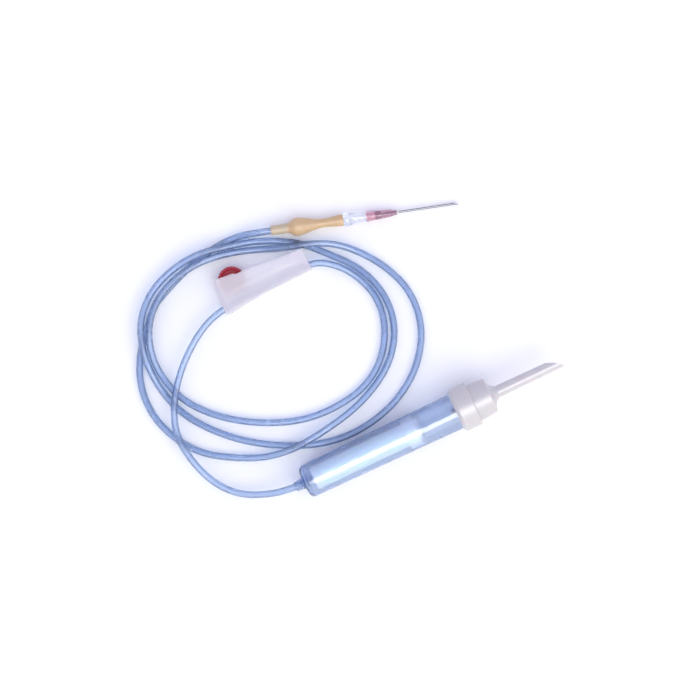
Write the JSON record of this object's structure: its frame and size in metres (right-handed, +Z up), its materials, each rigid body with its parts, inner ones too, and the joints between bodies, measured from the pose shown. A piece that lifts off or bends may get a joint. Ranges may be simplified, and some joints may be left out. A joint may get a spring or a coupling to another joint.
{
  "type": "blood transfusion set",
  "caption": "Coiled tubing set for transfusion: spiked cap on a clear drip chamber with filter, roller clamp, latex bulb, luer connector and needle.",
  "frame": {"origin": "on the table, at the middle of the box round every piece except the free tube", "axes": "+X across the coil towards the tip of the spike, +Y towards the needle end, +Z up from the table"},
  "size_m": [0.2565, 0.1776, 0.0275],
  "materials": {
    "cap_plastic": "satin hard plastic",
    "clear_vinyl": "clear bluish soft vinyl",
    "frame_plastic": "natural plastic",
    "nylon_mesh": "fine woven nylon",
    "tube_vinyl": "clear bluish soft vinyl",
    "clamp_plastic": "milky satin plastic",
    "roller_plastic": "crimson glossy plastic",
    "latex": "amber satin latex",
    "clear_hard": "clear hard plastic",
    "hub_plastic": "translucent pink plastic",
    "steel": "drawn stainless steel",
    "glue": "cured clear glue"
  },
  "bodies": {
    "set": {"spike_cap": "cap_plastic", "drip_chamber": "clear_vinyl", "filter_frame": "frame_plastic", "filter_mesh": "nylon_mesh", "delivery_tube": "tube_vinyl", "clamp_housing": "clamp_plastic", "latex_bulb": "latex", "luer_connector": "clear_hard"},
    "roller": {"clamp_roller": "roller_plastic"},
    "needle": {"needle_hub": "hub_plastic", "needle_cannula": "steel", "hub_adhesive": "glue"}
  },
  "joints": [
    {"name": "roller_travel", "type": "slide", "parent": "set", "child": "roller", "axis": [0.9462, 0.3234, 0], "range_m": [0, 0.0374], "deforming": ["delivery_tube"]},
    {"name": "needle_pull_off", "type": "slide", "parent": "set", "child": "needle", "axis": [0.9882, 0.1477, -0.0403], "range_m": [0, 0.01]}
  ]
}
